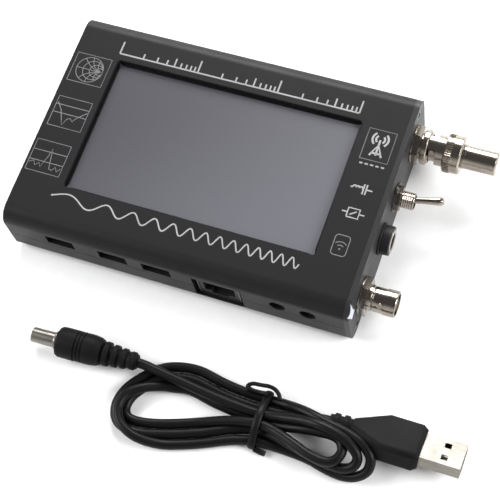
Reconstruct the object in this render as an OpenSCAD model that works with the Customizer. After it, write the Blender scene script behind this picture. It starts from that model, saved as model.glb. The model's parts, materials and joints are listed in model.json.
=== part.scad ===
// Handheld vector network analyzer in a split aluminium case, with its charging lead.
// The origin is the middle of the case's underside. +X is the end with the connectors,
// -Y is the long side with the port cut-outs and +Z is the display side. Millimetres.

/* [Case] */
// Length of the case over both end panels
case_l = 132; // [128:1:140]
// Depth of the case, from the port side to the plain side
case_d = 89; // [88:0.5:94]
// Height of the case
case_h = 27; // [26.6:0.1:28]
// Radius of the four long edges
edge_r = 6; // [4:0.5:7]
// Thickness of the shells' flat walls
wall = 1.8; // [1.6:0.1:1.9]
// Thickness of the shells' side walls
side_wall = 2; // [1.6:0.1:2.2]
// Thickness of each end panel
panel_t = 2; // [1.5:0.1:2.5]
// Height of the line where the two shells meet
split_z = 12.8; // [12.4:0.1:13.2]

/* [Display] */
// Length of the window in the top face
window_l = 96.5; // [95:0.5:98]
// Depth of the window in the top face
window_d = 55; // [54:0.5:56]
// Distance from the middle of the case to the middle of the window
window_y = 0.9; // [0:0.1:1.5]
// Length of the display module
display_l = 105.5; // [104:0.5:106]
// Depth of the display module
display_d = 67.2; // [66:0.2:68]

/* [Connector end] */
// Height of the connector axes above the underside
port_z = 14; // [13.8:0.1:14.2]
// Distance of each coaxial port from the middle of the end panel
port_y = 31; // [30:0.5:32]
// Distance of the toggle and of the charging jack from the middle of the end panel
small_y = 8.5; // [8:0.1:9]
// Diameter of a coaxial port's barrel
barrel_d = 9.6; // [9.5:0.05:9.7]
// Length that a coaxial port stands out of the panel
barrel_out = 13; // [12:0.5:14]
// Angle that the toggle's lever leans to each side
toggle_lean = 12.5; // [10:0.5:13]

/* [Charging lead] */
// Diameter of the lead's cable
cable_d = 3.6; // [3.4:0.1:3.8]
// Thickness of the folded hank
hank_h = 9; // [8:0.5:10]
// Distance that the lead lies in front of the middle of the case
lead_y = -76.4; // [-90:0.1:-74]

/* [Hidden] */
$fn = 48;
half_l = case_l / 2;
half_d = case_d / 2;
shell_end = half_l - panel_t;
in_y = half_d - side_wall;
top_in = case_h - wall;
arc_steps = 12;
seam_gap = 0.2;
lip_t = 1;
lip_h = 2;
// display stack, from the window down
gasket_t = 0.4;
touch_t = 1.2;
lcd_t = 2.7;
tray_t = 0.3;
tape_t = 0.3;
flex_h = 1;
touch_z = top_in - gasket_t - touch_t;
lcd_z = touch_z - lcd_t;
tray_z = lcd_z - tray_t;
board_t = 1.6;
main_top = tray_z - tape_t;
main_z = main_top - board_t;
main_l = 120;
main_d = 82.8;
rf_z = 8;
rf_top = rf_z + board_t;
rf_y0 = -20;
rf_y1 = 40;
post_x = 56.5;
post_ys = [-16.2, 21];
screw_ys = [-38, 38];
screw_zs = [3.9, case_h - 3.9];
boss_w = 5;
boss_t = 1.7;
boss_bore = 1.3;
screw_head_r = 2.4;
// sockets on the port side: middle of each along X, and the opening around it
usb_xs = [-44.5, -23.7, -6.6];
usb_w = 7.6;
usb_h = 2.9;
usb_cut_w = 11;
usb_cut_h = 5.6;
usb_zc = main_z - usb_h / 2 - 0.1;
net_x = 16.5;
net_w = 16;
net_h = 13;
net_y = -43.4;
net_len = 21;
net_cut_w = 18.6;
net_zc = main_z - net_h / 2;
audio_xs = [39.3, 50.6];
audio_zc = main_z - 2.5;
audio_cut_r = 3;
audio_y = -43.2;
// coaxial ports
barrel_r = barrel_d / 2;
mouth_x = half_l + barrel_out;
mouth_bevel = 0.4;
gauge_len = 3.8;
lug_x = mouth_x - 5.3;
lug_r = 0.975;
lug_reach = 5.5;
lug_angle = 45;
bore_r = 4.05;
core_r = 2.45;
// terminating load on port one
spigot_x = mouth_x - 7.5;
load_r = 4;
load_tail_r = 4.4;
load_end = half_l + 31.2;
collar_x = mouth_x + 1;
grip_x = mouth_x - 1;
collar_end = mouth_x + 5.4;
collar_r = 7.1;
sleeve_r = 5.7;
sleeve_in = 5.1;
rim_x = half_l + 3.6;
rim_r = 6.6;
track_r = 5.85;
track_w = 2.6;
track_run = 20;
// toggle switch
pivot_x = half_l + 3.5;
bushing_end = half_l + 7.3;
lever_len = 14;
// four-pointed corner insert
star_x = half_l;
star_y = -40.7;
star_z = 19.4;
star_h = 4.9;
star_w = 2.8;
star_turn = -51;
star_tilt = 30;
insert_drop = 0.1;
star_deep = 2.6;
// charging lead
boot_x = -3.6;
plug_z = 5.75;
plug_yaw = 2;
usb_x = 79;
usb_y = lead_y + 0.6;
usb_z = 7;
usb_roll = -28;
usb_len = 22.5;
neck_len = 9;
nose_r = 1.8;
usb_plug_w = 16.4;
usb_plug_h = 8.5;
usb_shell_w = 12;
usb_shell_h = 4.5;
usb_shell_out = 14.3;
relief_len = 10.5;
notch_x = 66;
tie_x = 43.4;
tie_w = 2.4;
tie_t = 0.9;
tail_route = [[-4.4, 0.75, 5.4], [-2.5, 0.7, 5.4], [-0.5, 0.55, 5.4], [1.5, 0.3, 5.4], [3.6, 0, 5.4]];
end_route = [[61.5, 0.3, 4.9], [63.5, 0.4, 5.6], [65.5, 0.5, 6.3], [67.5, 0.6, 6.8], [69.5, 0.6, 7]];

// ---- shared shapes ----

// Points of a rectangle from (a0, b0) to (a1, b1) whose corners are arcs of radius r
function round_box(a0, a1, b0, b1, r) = [
    for (c = [[a1 - r, b1 - r, 0], [a0 + r, b1 - r, 90], [a0 + r, b0 + r, 180], [a1 - r, b0 + r, 270]])
        for (i = [0:arc_steps])
            [c[0] + r * cos(c[2] + 90 * i / arc_steps), c[1] + r * sin(c[2] + 90 * i / arc_steps)]];

// Block given by its two opposite corners
module block(lo, hi) {
    translate(lo) cube(hi - lo);
}

// Extrudes a YZ outline along X from x0 to x1
module along_x(x0, x1) {
    translate([x0, 0, 0]) rotate([90, 0, 90]) linear_extrude(x1 - x0) children();
}

// Round bar along X, on the local axis
module rod(x0, x1, r) {
    translate([x0, 0, 0]) rotate([0, 90, 0]) cylinder(h = x1 - x0, r = r);
}

// Hexagonal bar along X, size across its corners
module hex_bar(x0, x1, r) {
    translate([x0, 0, 0]) rotate([0, 90, 0]) cylinder(h = x1 - x0, r = r, $fn = 6);
}

// Turned part along X from points [radius, x]
module turned(points) {
    rotate([0, 90, 0]) rotate_extrude() polygon(points);
}

// Places an axis-along-X part at height port_z, y off the middle
module at_port(y) {
    translate([0, y, port_z]) children();
}

// The case's outer solid, taken in by d on every side
module case_solid(d) {
    along_x(-half_l + d, half_l - d)
        polygon(round_box(-half_d + d, half_d - d, d, case_h - d, edge_r - d));
}

// Four-pointed prism that opens the corner between the port side and the connector end
module corner_star(grow, deep) {
    points = [[0, star_h], [star_w, 0], [0, -star_h], [-star_w, 0]];
    steps = 6;
    translate([star_x, star_y, star_z]) rotate([0, 0, star_turn]) rotate([0, star_tilt, 0])
        translate([0, 0, -deep]) linear_extrude(deep + 12) scale(grow)
            polygon([for (q = [0:3]) for (i = [0:steps - 1])
                let (a = points[q], b = points[(q + 1) % 4], t = i / steps, pull = 1 - 1.5 * t * (1 - t))
                    [-(a[1] * (1 - t) + b[1] * t) * pull, (a[0] * (1 - t) + b[0] * t) * pull]]);
}

// Cut-outs of the port side, through the front wall
module port_cuts() {
    y0 = -half_d - 1;
    y1 = -in_y + 1.2;
    for (x = usb_xs)
        block([x - usb_cut_w / 2, y0, usb_zc - usb_cut_h / 2], [x + usb_cut_w / 2, y1, usb_zc + usb_cut_h / 2]);
    block([net_x - net_cut_w / 2, y0, net_zc - net_h / 2 - 0.6],
        [net_x + net_cut_w / 2, y1, net_zc + net_h / 2 + 0.8]);
    for (x = audio_xs)
        translate([x, y1, audio_zc]) rotate([90, 0, 0]) cylinder(h = y1 - y0, r = audio_cut_r);
}

// ---- case ----

module shell_ring() {
    difference() {
        along_x(-shell_end, shell_end) polygon(round_box(-half_d, half_d, 0, case_h, edge_r));
        along_x(-half_l, half_l) polygon(round_box(-in_y, in_y, wall, top_in, edge_r - side_wall));
    }
}

// Screw channels along both side walls at height z, joined to the wall whose inner face is at wall_z
module screw_channels(z, wall_z) {
    side = sign(z - wall_z);
    z0 = wall_z - side * 0.2;
    z1 = z + side * boss_t;
    for (y = screw_ys) difference() {
        block([-shell_end, y > 0 ? y - boss_w / 2 : -in_y - 0.2, min(z0, z1)],
            [shell_end, y > 0 ? in_y + 0.2 : y + boss_w / 2, max(z0, z1)]);
        translate([0, y, z]) rod(-half_l, half_l, boss_bore);
    }
}

module upper_shell() color("#2b2b2d") {
    rail_in = in_y - 1.6;
    difference() {
        union() {
            difference() {
                shell_ring();
                block([-half_l, -half_d - 1, -1], [half_l, half_d + 1, split_z + seam_gap / 2]);
            }
            for (s = [-1, 1])
                block([-shell_end, min(s * rail_in, s * (in_y + 0.5)), main_top + 0.1],
                    [shell_end, max(s * rail_in, s * (in_y + 0.5)), main_top + 1]);
            for (r = [[-shell_end, shell_end, 1], [-shell_end, usb_xs[0] - 8, -1],
                    [audio_xs[1] + 6, shell_end, -1]])
                block([r[0], min(r[2] * rail_in, r[2] * (in_y + 0.5)), main_z - 1.1],
                    [r[1], max(r[2] * rail_in, r[2] * (in_y + 0.5)), main_z - 0.1]);
            screw_channels(screw_zs[1], top_in);
        }
        translate([0, window_y, top_in - 1]) linear_extrude(wall + 2)
            polygon(round_box(-window_l / 2, window_l / 2, -window_d / 2, window_d / 2, 1.5));
        port_cuts();
        corner_star(1, star_deep + 0.6);
    }
}

module lower_shell() color("#232325") {
    difference() {
        union() {
            difference() {
                shell_ring();
                block([-half_l, -half_d - 1, split_z - seam_gap / 2], [half_l, half_d + 1, case_h + 1]);
            }
            for (s = [-1, 1]) {
                block([-shell_end, min(s * (in_y - lip_t), s * (in_y + 0.5)), split_z - 3],
                    [shell_end, max(s * (in_y - lip_t), s * (in_y + 0.5)), split_z - seam_gap / 2]);
                block([-shell_end, min(s * (in_y - lip_t), s * (in_y - 0.1)), split_z - 3],
                    [shell_end, max(s * (in_y - lip_t), s * (in_y - 0.1)), split_z + lip_h]);
            }
            screw_channels(screw_zs[0], wall);
        }
        port_cuts();
        corner_star(1, star_deep + 0.6);
    }
}

// Places of one end's panel screws; the insert takes the place of one at the connector end
function screw_spots(connector_end) = [for (y = screw_ys) for (z = screw_zs)
    if (!(connector_end && y < 0 && z > port_z)) [0, y, z]];

// One end panel with its screw holes, lying between x0 and x1
module panel_plate(x0, x1, connector_end) {
    difference() {
        along_x(x0, x1) polygon(round_box(-half_d, half_d, 0, case_h, edge_r));
        for (p = screw_spots(connector_end)) translate(p) {
            rod(x0 - 1, x1 + 1, 1.5);
            mirror([connector_end ? 0 : 1, 0, 0])
                turned([[0, half_l - 1.4], [1.5, half_l - 1.4], [2.6, half_l + 0.1], [0, half_l + 0.1]]);
        }
    }
}

module left_end_panel() color("#3a3a3c") {
    panel_plate(-half_l, -shell_end, false);
}

module right_end_panel() color("#4b4b4b") {
    difference() {
        panel_plate(shell_end, half_l, true);
        for (s = [-1, 1]) at_port(s * port_y) rod(shell_end - 1, half_l + 1, 4.9);
        at_port(small_y) rod(shell_end - 1, half_l + 1, 3.1);
        at_port(-small_y) rod(shell_end - 1, half_l + 1, 4.3);
        corner_star(1, star_deep + 0.6);
    }
}

module corner_insert() color("#c8ccd6") {
    intersection() {
        case_solid(insert_drop);
        corner_star(0.98, star_deep);
    }
}

module end_panel_screws() color("#1c1c1e") {
    shank_r = boss_bore - 0.05;
    for (s = [-1, 1]) for (p = screw_spots(s > 0))
        translate(p) mirror([s < 0 ? 1 : 0, 0, 0]) difference() {
            turned([[0, half_l - 5.8], [shank_r, half_l - 5.8], [shank_r, half_l - 1.35],
                [screw_head_r, half_l - 0.15], [screw_head_r, half_l - 0.05], [0, half_l - 0.05]]);
            hex_bar(half_l - 1.1, half_l + 2, 1.1);
        }
}

// ---- display ----

module window_gasket() color("#101010") {
    translate([0, window_y, top_in - gasket_t]) linear_extrude(gasket_t) difference() {
        square([window_l + 5, window_d + 5], center = true);
        square([window_l + 0.6, window_d + 0.6], center = true);
    }
}

module touch_panel() color("#4c4c50") {
    translate([-display_l / 2, window_y - display_d / 2, touch_z]) cube([display_l, display_d, touch_t]);
}

module lcd_panel() color("#2a2b30") {
    inset = 0.4;
    translate([-display_l / 2 + inset, window_y - display_d / 2 + inset, lcd_z])
        cube([display_l - 2 * inset, display_d - 2 * inset, lcd_t]);
}

module lcd_frame() color("#b9bcc0") {
    difference() {
        translate([-display_l / 2, window_y - display_d / 2, tray_z])
            cube([display_l, display_d, touch_z - tray_z]);
        translate([-display_l / 2 + 0.4, window_y - display_d / 2 + 0.4, lcd_z])
            cube([display_l - 0.8, display_d - 0.8, lcd_t + 1]);
        block([8, window_y - display_d / 2 - 1, lcd_z], [30, window_y - display_d / 2 + 0.6, touch_z + 1]);
    }
}

module lcd_flex() color("#b5702a") {
    y0 = window_y - display_d / 2 + 0.4;
    y1 = y0 - 2.6;
    block([9, y1, lcd_z + 1], [29, y0, lcd_z + 1.2]);
    block([9, y1, main_top + flex_h], [29, y1 + 0.2, lcd_z + 1.1]);
}

module flex_connector() color("#e4e0d2") {
    y1 = window_y - display_d / 2 - 2.2;
    block([8, y1 - 3.4, main_top], [30, y1 + 0.6, main_top + flex_h]);
}

module display_tape() color("#d8d8d0") {
    for (x = [-38, 26]) block([x, window_y - 22, main_top], [x + 12, window_y + 22, tray_z]);
}

// ---- boards ----

module main_board() color("#0f5a3a") {
    difference() {
        block([-main_l / 2, -main_d / 2, main_z], [main_l / 2, main_d / 2, main_top]);
        for (x = [-post_x, post_x]) for (y = post_ys)
            translate([x, y, main_z - 1]) cylinder(h = board_t + 2, r = 1.6);
    }
}

module main_board_chips() color("#161618") {
    block([-6, 2, main_z - 1.4], [8, 16, main_z]);
    block([-28, 6, main_z - 1], [-18, 14, main_z]);
    block([-38, -11, main_z - 1.2], [-30, -5, main_z]);
    for (i = [0:5]) block([-50 + 4.5 * i, -26, main_z - 0.9], [-47.4 + 4.5 * i, -24.4, main_z]);
    for (i = [0:4]) block([32 + 4 * i, 10, main_z - 0.9], [34 + 4 * i, 11.2, main_z]);
}

module board_headers() color("#151517") {
    for (y = [rf_y0 + 4, rf_y1 - 6]) for (x = [-44, -18, 8])
        block([x, y, rf_top], [x + 20.3, y + 2.5, main_z]);
}

module standoffs() color("#c9a24b") {
    for (x = [-post_x, post_x]) for (y = post_ys)
        translate([x, y, rf_top]) difference() {
            cylinder(h = main_z - rf_top, r = 2.9, $fn = 6);
            translate([0, 0, -1]) cylinder(h = main_z - rf_top + 2, r = 1.25);
        }
}

module board_screws() color("#b8bcc2") {
    for (x = [-post_x, post_x]) for (y = post_ys) {
        translate([x, y, main_top]) cylinder(h = 1.6, r = 2.6);
        translate([x, y, main_z - 3]) cylinder(h = board_t + 3.1, r = 1.2);
        translate([x, y, rf_z - 1.6]) cylinder(h = 1.6, r = 2.6);
        translate([x, y, rf_z - 0.1]) cylinder(h = board_t + 3.1, r = 1.2);
    }
}

module rf_board() color("#0f5a3a") {
    difference() {
        block([-main_l / 2, rf_y0, rf_z], [main_l / 2, rf_y1, rf_top]);
        for (x = [-post_x, post_x]) for (y = post_ys)
            translate([x, y, rf_z - 1]) cylinder(h = board_t + 2, r = 1.6);
    }
}

module rf_board_chips() color("#161618") {
    for (x = [-28, -12]) block([x, 2, rf_top], [x + 7, 9, rf_top + 1.2]);
    for (i = [0:5]) block([-30 + 4 * i, 14, rf_top], [-28 + 4 * i, 15.2, rf_top + 0.8]);
}

module rf_shield() color("#c3c6cb") {
    difference() {
        block([8, -6, rf_top], [42, 24, rf_top + 3.4]);
        block([8.3, -5.7, rf_top - 1], [41.7, 23.7, rf_top + 3.1]);
        for (i = [0:5]) for (j = [0:4])
            translate([12 + 5.2 * i, -1 + 5 * j, rf_top]) cylinder(h = 5, r = 0.8);
    }
}

module radio_module() color("#1f6fae") {
    block([-52, 0, rf_top], [-38, 26, rf_top + 0.9]);
    block([-51, 1, rf_top + 0.9], [-39, 18, rf_top + 2.9]);
}

module battery_pouch() color("#9aa1aa") {
    z0 = wall + 0.4;
    translate([0, 0, z0]) linear_extrude(4.8)
        polygon(round_box(-50, 4, -10, 26, 2));
    block([4, 2, z0 + 1.8], [6.5, 14, z0 + 3]);
}

module battery_pad() color("#e8e6df") {
    block([-46, -6, wall], [0, 22, wall + 0.4]);
}

// ---- sockets of the port side ----

// Shell of one data socket, open towards -Y
module usb_socket(x) {
    y0 = -in_y + 0.3;
    y1 = y0 + 6.2;
    color("#c2c4c8") difference() {
        block([x - usb_w / 2, y0, usb_zc - usb_h / 2], [x + usb_w / 2, y1, main_z]);
        block([x - usb_w / 2 + 0.35, y0 - 1, usb_zc - usb_h / 2 + 0.35],
            [x + usb_w / 2 - 0.35, y1 - 0.8, usb_zc + usb_h / 2 - 0.25]);
    }
}

module usb_socket_left() usb_socket(usb_xs[0]);
module usb_socket_middle() usb_socket(usb_xs[1]);
module usb_socket_right() usb_socket(usb_xs[2]);

module usb_socket_tongues() color("#1a1a1a") {
    y0 = -in_y + 1.2;
    y1 = -in_y + 0.3 + 5.4;
    for (x = usb_xs) block([x - 2.4, y0, usb_zc - 0.35], [x + 2.4, y1, usb_zc + 0.35]);
}

module network_jack() color("#b7babf") {
    difference() {
        block([net_x - net_w / 2, net_y, net_zc - net_h / 2], [net_x + net_w / 2, net_y + net_len, main_z]);
        block([net_x - net_w / 2 + 0.3, net_y - 1, net_zc - net_h / 2 + 0.3],
            [net_x + net_w / 2 - 0.3, net_y + net_len - 0.3, main_z - 0.3]);
    }
}

module network_jack_insert() color("#141414") {
    difference() {
        block([net_x - net_w / 2 + 0.3, net_y + 0.4, net_zc - net_h / 2 + 0.3],
            [net_x + net_w / 2 - 0.3, net_y + net_len - 0.3, main_z - 0.3]);
        block([net_x - 5.9, net_y - 1, net_zc - 3.6], [net_x + 5.9, net_y + 13, net_zc + 3.4]);
        block([net_x - 3.1, net_y - 1, net_zc - 5.2], [net_x + 3.1, net_y + 9, net_zc - 3]);
    }
    for (i = [0:7]) block([net_x - 3.8 + 1.02 * i, net_y + 4, net_zc + 2.4],
        [net_x - 3.4 + 1.02 * i, net_y + 13, net_zc + 3.4]);
}

// Body of one sound jack, its bore along Y
module audio_jack(x) {
    color("#17171a") difference() {
        union() {
            block([x - 3, audio_y + 1.8, main_z - 5], [x + 3, audio_y + 13, main_z]);
            translate([x, audio_y + 1.9, audio_zc]) rotate([90, 0, 0]) cylinder(h = 1.7, r = 2.5);
        }
        translate([x, audio_y + 11, audio_zc]) rotate([90, 0, 0]) cylinder(h = 12, r = 1.8);
    }
}

module audio_jack_left() audio_jack(audio_xs[0]);
module audio_jack_right() audio_jack(audio_xs[1]);

// ---- coaxial ports ----

module port_jack() {
    color("#b9b4ac") difference() {
        union() {
            hex_bar(shell_end - 2.7, shell_end, 8);
            turned([[0, half_l - 10], [4, half_l - 10], [4, shell_end - 1], [4.75, shell_end - 1],
                [4.75, half_l + 4], [4.4, half_l + 4.2], [4.4, half_l + 4.8],
                [barrel_r - 0.25, half_l + 5], [barrel_r - 0.25, mouth_x - gauge_len - mouth_bevel],
                [barrel_r, mouth_x - gauge_len - mouth_bevel], [barrel_r, mouth_x - mouth_bevel],
                [barrel_r - 0.3, mouth_x], [0, mouth_x]]);
            rotate([lug_angle, 0, 0]) translate([lug_x, 0, -lug_reach]) cylinder(h = 2 * lug_reach, r = lug_r);
        }
        rod(half_l + 4.6, mouth_x + 1, bore_r);
        rod(half_l - 11, half_l + 5, core_r);
    }
}

module port_insulator() {
    color("#efeee9") difference() {
        rod(half_l - 10, mouth_x - 1.5, core_r);
        rod(half_l - 11, mouth_x, 1.1);
    }
}

module port_contact() {
    color("#c9a24b") difference() {
        rod(half_l - 12, mouth_x - 2, 1.1);
        rod(mouth_x - 9.5, mouth_x, 0.8);
    }
}

module port_nut() {
    color("#a5a29b") difference() {
        union() {
            rod(half_l, half_l + 0.6, 7);
            hex_bar(half_l + 0.6, half_l + 2.8, 7.2);
        }
        rod(half_l - 1, half_l + 4, 4.78);
    }
}

module port_one_jack() at_port(port_y) port_jack();
module port_one_insulator() at_port(port_y) port_insulator();
module port_one_contact() at_port(port_y) port_contact();
module port_one_nut() at_port(port_y) port_nut();
module port_two_jack() at_port(-port_y) port_jack();
module port_two_insulator() at_port(-port_y) port_insulator();
module port_two_contact() at_port(-port_y) port_contact();
module port_two_nut() at_port(-port_y) port_nut();

// ---- terminating load, pushed on port one ----

module load_body() color("#c4beb5") {
    at_port(port_y) turned([[2.75, spigot_x], [3.75, spigot_x], [3.75, mouth_x + 0.3],
        [4.7, mouth_x + 0.3], [4.7, mouth_x + 0.7], [load_r, mouth_x + 0.7],
        [load_r, collar_end + 0.3], [4.5, collar_end + 0.3], [4.5, collar_end + 1.1],
        [load_tail_r, collar_end + 1.1], [load_tail_r, load_end - 0.5], [load_tail_r - 0.5, load_end],
        [0, load_end], [0, mouth_x + 6], [2.75, mouth_x + 6]]);
}

module load_insulator() color("#efeee9") {
    at_port(port_y) difference() {
        rod(mouth_x + 0.3, mouth_x + 6, 2.75);
        rod(mouth_x - 1, mouth_x + 5, 0.5);
    }
}

module load_pin() color("#c9a24b") {
    at_port(port_y) turned([[0, mouth_x - 5.6], [0.3, mouth_x - 5.6], [0.5, mouth_x - 5.2],
        [0.5, mouth_x + 5], [0, mouth_x + 5]]);
}

module load_collar() color("#bdb7ae") {
    at_port(port_y) difference() {
        turned([[sleeve_in, rim_x], [rim_r - 0.4, rim_x], [rim_r, rim_x + 0.4], [rim_r, rim_x + 1.9],
            [rim_r - 0.4, rim_x + 2.3], [sleeve_r, rim_x + 2.3], [sleeve_r, grip_x],
            [collar_r - 0.4, grip_x], [collar_r, grip_x + 0.4], [collar_r, collar_end - 0.6],
            [collar_r - 0.6, collar_end], [load_r + 0.08, collar_end], [load_r + 0.08, collar_x],
            [sleeve_in, collar_x]]);
        // straight way in for the two lugs, then a quarter turn round the sleeve
        intersection() {
            rod(rim_x - 1, lug_x + track_w / 2, track_r);
            rotate([lug_angle, 0, 0])
                block([rim_x - 1, -track_w / 2, -track_r], [lug_x + track_w / 2, track_w / 2, track_r]);
        }
        for (k = [0, 180]) intersection() {
            difference() {
                rod(lug_x - track_w / 2, lug_x + track_w / 2, track_r);
                rod(lug_x - track_w, lug_x + track_w, sleeve_in - 0.5);
            }
            for (a = [0, track_run]) rotate([lug_angle + k + a, 0, 0])
                block([lug_x - track_w / 2, -track_r, 0], [lug_x + track_w / 2, 0, track_r]);
        }
    }
}

// ---- toggle switch ----

module toggle_bushing() color("#b9b8b4") {
    at_port(small_y) difference() {
        turned([[0, shell_end - 0.5], [4.2, shell_end - 0.5], [4.2, shell_end], [3, shell_end],
            [3, bushing_end - 0.4], [2.7, bushing_end], [0, bushing_end]]);
        rod(pivot_x - 2.6, bushing_end + 1, 2.5);
    }
}

module toggle_case() color("#1d4f9e") {
    at_port(small_y) block([half_l - 11.4, -6.4, -3.9], [shell_end - 0.5, 6.4, 3.9]);
}

module toggle_terminals() color("#c9c4b4") {
    at_port(small_y) for (y = [-4.7, 0, 4.7])
        block([half_l - 15.4, y - 0.6, -0.4], [half_l - 11.4, y + 0.6, 0.4]);
}

module toggle_nut() color("#b4b3af") {
    at_port(small_y) difference() {
        union() {
            rod(half_l, half_l + 0.5, 4.9);
            hex_bar(half_l + 0.5, half_l + 2.4, 4.6);
        }
        rod(half_l - 1, half_l + 4, 3.03);
    }
}

module toggle_lever() color("#c6c5c1") {
    translate([pivot_x, small_y, port_z]) rotate([0, 0, toggle_lean]) {
        sphere(r = 2.1);
        turned([[0, 1], [1.2, 1], [1.2, 5.5], [1.5, lever_len - 1.2], [1.25, lever_len - 0.4],
            [0.7, lever_len], [0, lever_len]]);
    }
}

// ---- charging jack ----

module dc_jack_body() color("#161618") {
    at_port(-small_y) difference() {
        union() {
            rod(half_l - 13, half_l - 1, 4.2);
            rod(half_l + 0.8, half_l + 4, 5.4);
            rod(half_l - 2, half_l + 2, 4.2);
        }
        rod(half_l - 8, half_l + 5, 2.9);
        rod(half_l - 14, half_l - 7, 1.05);
    }
}

module dc_jack_nut() color("#1c1c1e") {
    at_port(-small_y) difference() {
        rod(half_l, half_l + 0.8, 6);
        rod(half_l - 1, half_l + 2, 4.24);
    }
}

module dc_jack_pin() color("#c3c3c0") {
    at_port(-small_y) rod(half_l - 11, half_l + 2.4, 1);
}

// ---- charging lead ----

// Places the barrel plug: its axis runs towards -X from the rear of its boot
module at_dc_plug() {
    translate([boot_x, lead_y + 0.8, plug_z]) rotate([0, 0, plug_yaw]) children();
}

module dc_plug_barrel() color("#b3b3b2") {
    at_dc_plug() difference() {
        union() {
            rod(-40.9, -31.2, 2.75);
            rod(-32, -30.8, 3.4);
        }
        rod(-43, -32.6, 1.25);
    }
}

module dc_plug_boot() color("#1b1b1c") {
    at_dc_plug() {
        turned([[0, -30.8], [5.1, -30.8], [5.7, -30], [5.7, -23.6], [5.4, -22.4], [5.2, -16],
            [4.6, -14.6], [3.4, -14.4], [3.1, -0.6], [2.8, -0.2], [0, -0.2]]);
        for (i = [0:3])
            rod(-13.4 + 3.5 * i, -11.4 + 3.5 * i, 4.5 - 0.4 * i);
    }
}

// Tube of radius r with eight sides along a route of points
module swept(route, r) {
    n = len(route);
    sides = 8;
    dirs = [for (i = [0:n - 1])
        let (d = route[min(i + 1, n - 1)] - route[max(i - 1, 0)]) d / norm(d)];
    points = [for (i = [0:n - 1])
        let (d = dirs[i], u = cross([0, 0, 1], d) / norm(cross([0, 0, 1], d)), v = cross(d, u))
            for (k = [0:sides - 1]) route[i] + r * (u * cos(360 * k / sides) + v * sin(360 * k / sides))];
    walls = [for (i = [0:n - 2]) for (k = [0:sides - 1])
        [i * sides + k, i * sides + (k + 1) % sides, (i + 1) * sides + (k + 1) % sides, (i + 1) * sides + k]];
    polyhedron(points, concat([[for (k = [sides - 1:-1:0]) k]], walls,
        [[for (k = [0:sides - 1]) (n - 1) * sides + k]]));
}

module lead_tail() color("#1a1a1b") {
    translate([0, lead_y, 0]) swept(tail_route, cable_d / 2);
}

module lead_end() color("#1a1a1b") {
    translate([0, lead_y, 0]) swept(end_route, cable_d / 2);
}

// Outer solid of the folded hank, notched where its tie and the plug lie
module lead_hank() color("#1f1f20") {
    difference() {
        translate([0, lead_y, 0]) linear_extrude(hank_h)
            for (loop = [[[2, -16.6, 10.2], [10, -3.6, 10.2], [43, -5.4, 10]],
                    [[43, -5.4, 10], [60, -4.6, 10], [77, -6.6, 10]]])
                hull() for (c = loop) translate([c[0], c[1]]) circle(r = c[2], $fn = 32);
        block([notch_x, usb_y - usb_plug_w / 2 - 1.6, -1], [110, usb_y + 20, hank_h + 1]);
        tie_band();
    }
}

// Band round the hank at the tie
module tie_band() {
    y0 = lead_y - 15.4;
    y1 = lead_y + 4.6;
    difference() {
        block([tie_x, y0 - tie_t, 0], [tie_x + tie_w, y1 + tie_t, hank_h]);
        block([tie_x - 1, y0 + 1, tie_t], [tie_x + tie_w + 1, y1 - 1, hank_h - tie_t]);
    }
}

module lead_tie() color("#121212") {
    tie_band();
}

// Places the data plug: it lies on its rear edge, rolled by usb_roll
module at_usb_plug() {
    translate([usb_x, usb_y, usb_z]) rotate([usb_roll, 0, 0]) children();
}

// Slice of the data plug's grip from x0 to x1, its outline taken in by d
module grip_slice(x0, x1, d) {
    along_x(x0, x1) polygon(round_box(-usb_plug_w / 2 + d, usb_plug_w / 2 - d,
        -usb_plug_h / 2 + d, usb_plug_h / 2 - d, 2));
}

module usb_plug_housing() color("#1d1d1e") {
    at_usb_plug() difference() {
        union() {
            hull() {
                rod(-2.5, -2, 3.3);
                grip_slice(neck_len, neck_len + 0.5, 0);
            }
            hull() {
                grip_slice(neck_len, usb_len - nose_r, 0);
                grip_slice(usb_len - nose_r / 3, usb_len, nose_r / 2);
            }
            turned([[0, -relief_len], [2.6, -relief_len], [3, -2], [0, -2]]);
            for (i = [0:1]) rod(-9 + 3.4 * i, -7.2 + 3.4 * i, 3.4 + 0.15 * i);
        }
        block([usb_len - 4, -usb_shell_w / 2, -usb_shell_h / 2],
            [usb_len + 1, usb_shell_w / 2, usb_shell_h / 2]);
    }
}

module usb_plug_shell() color("#c9cacb") {
    sheet_t = 0.35;
    end_x = usb_len + usb_shell_out;
    at_usb_plug() {
        difference() {
            block([usb_len - 4, -usb_shell_w / 2, -usb_shell_h / 2], [end_x, usb_shell_w / 2, usb_shell_h / 2]);
            block([usb_len - 3, -usb_shell_w / 2 + sheet_t, -usb_shell_h / 2 + sheet_t],
                [end_x + 1, usb_shell_w / 2 - sheet_t, usb_shell_h / 2 - sheet_t]);
            for (y = [-3.9, 1.7]) block([end_x - 7.4, y, 0], [end_x - 5.2, y + 2.2, usb_shell_h]);
        }
        block([usb_len - 3, -usb_shell_w / 2 + sheet_t, -usb_shell_h / 2 + sheet_t],
            [end_x - 0.6, usb_shell_w / 2 - sheet_t, -usb_shell_h / 2 + 2]);
    }
}

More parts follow.
